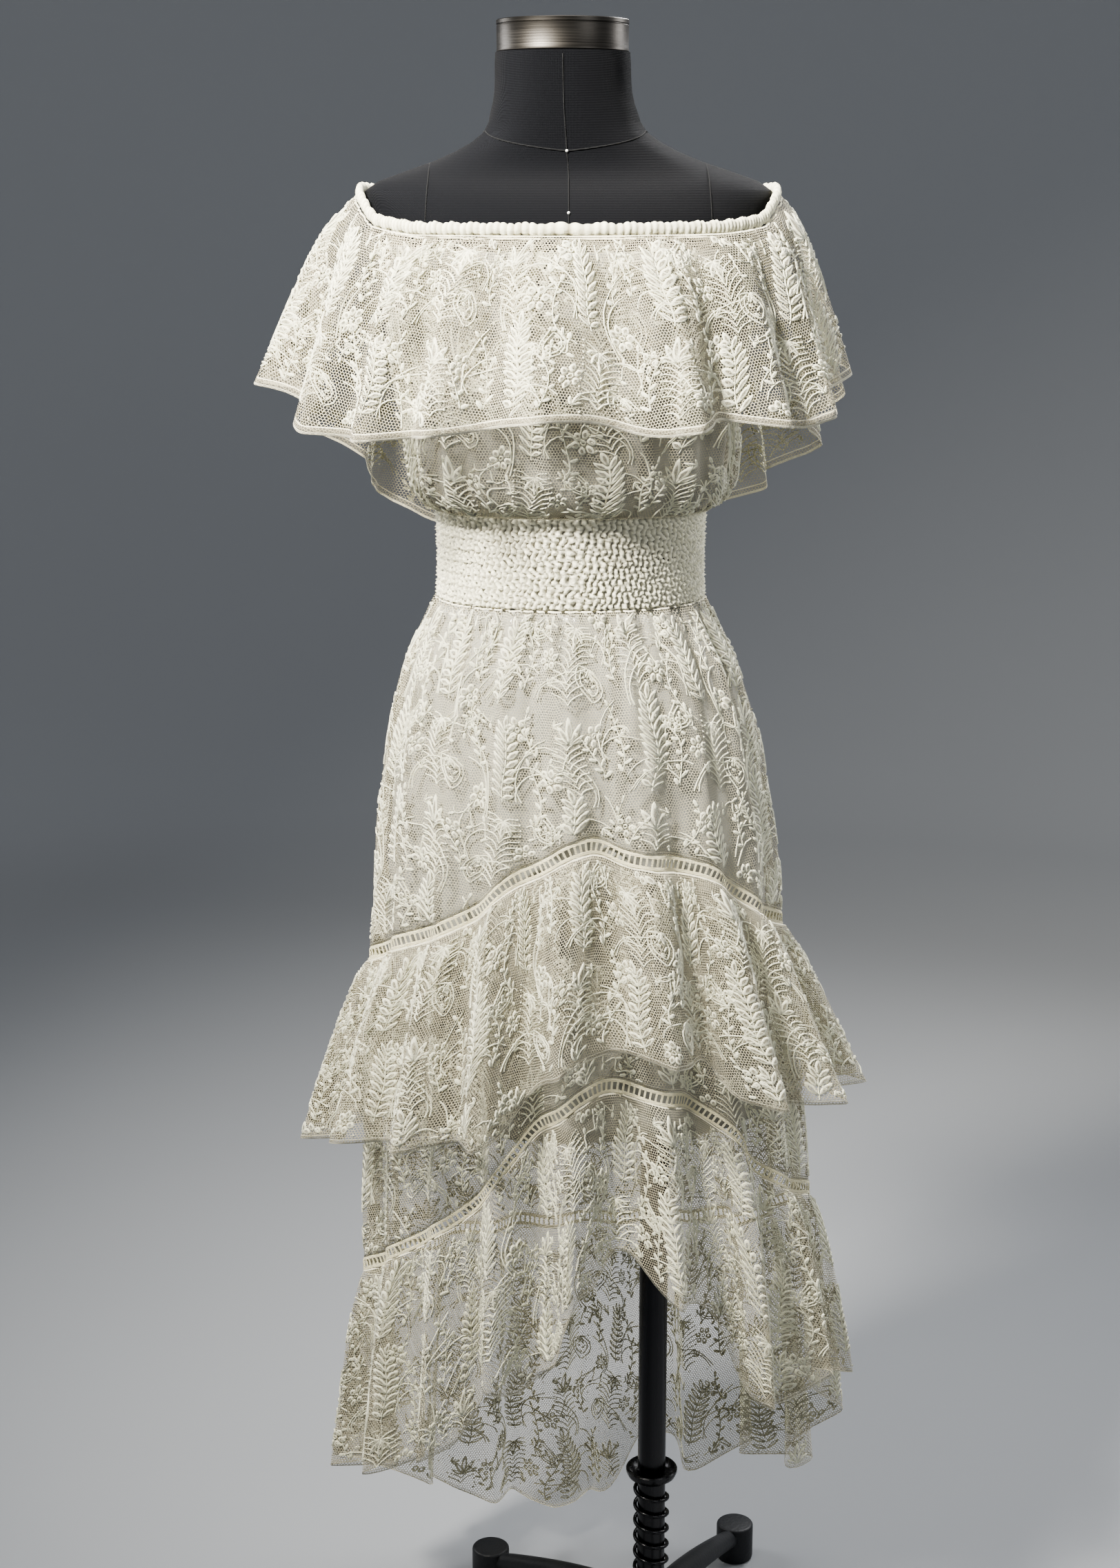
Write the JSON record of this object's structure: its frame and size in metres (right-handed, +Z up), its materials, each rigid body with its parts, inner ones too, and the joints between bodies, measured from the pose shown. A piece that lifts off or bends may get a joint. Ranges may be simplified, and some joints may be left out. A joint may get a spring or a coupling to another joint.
{
  "type": "off-shoulder lace dress on a limbless dress form with a stand",
  "caption": "Off-shoulder lace dress with an overlay flounce, shirred waist and a tiered high-low skirt, worn on a limbless dress form on a pole stand.",
  "frame": {"origin": "centre of the bounding box, on the floor under the feet", "axes": "+Z up, the dress's front faces -Y, +X is the wearer's left"},
  "size_m": [0.6214, 0.5103, 1.6513],
  "materials": {
    "lace": "corded floral lace on a hexagonal net, warm ivory, matt with a soft thread sheen",
    "trim": "matt cream tape: ruched elastic casing and ladder insertion trim",
    "satin": "pale silver-grey satin lining with a soft sheen",
    "form_cover": "stretched blue-black cloth cover, matt",
    "gunmetal": "dark gunmetal, brushed, satin",
    "steel": "dark polished steel",
    "cast_iron": "black painted casting, semi-matt"
  },
  "bodies": {
    "root": {"bodice_front": "lace", "bodice_back": "lace", "neck_flounce_front": "lace", "neck_flounce_back": "lace", "waistband_shirred": "lace", "skirt_upper_front": "lace", "skirt_upper_back": "lace", "flounce_upper_front": "lace", "flounce_upper_back": "lace", "skirt_lower_front": "lace", "skirt_lower_back": "lace", "flounce_lower_front": "lace", "flounce_lower_back": "lace", "neck_casing": "trim", "trim_upper": "trim", "trim_lower": "trim", "bodice_lining": "satin", "skirt_lining": "satin", "form_torso": "form_cover", "neck_cap": "gunmetal", "pole": "steel", "pole_collar": "steel", "pole_spring": "steel", "base_hub": "cast_iron", "base_leg_1": "cast_iron", "base_leg_2": "cast_iron", "base_leg_3": "cast_iron", "base_leg_4": "cast_iron", "base_leg_5": "cast_iron"}
  },
  "joints": []
}
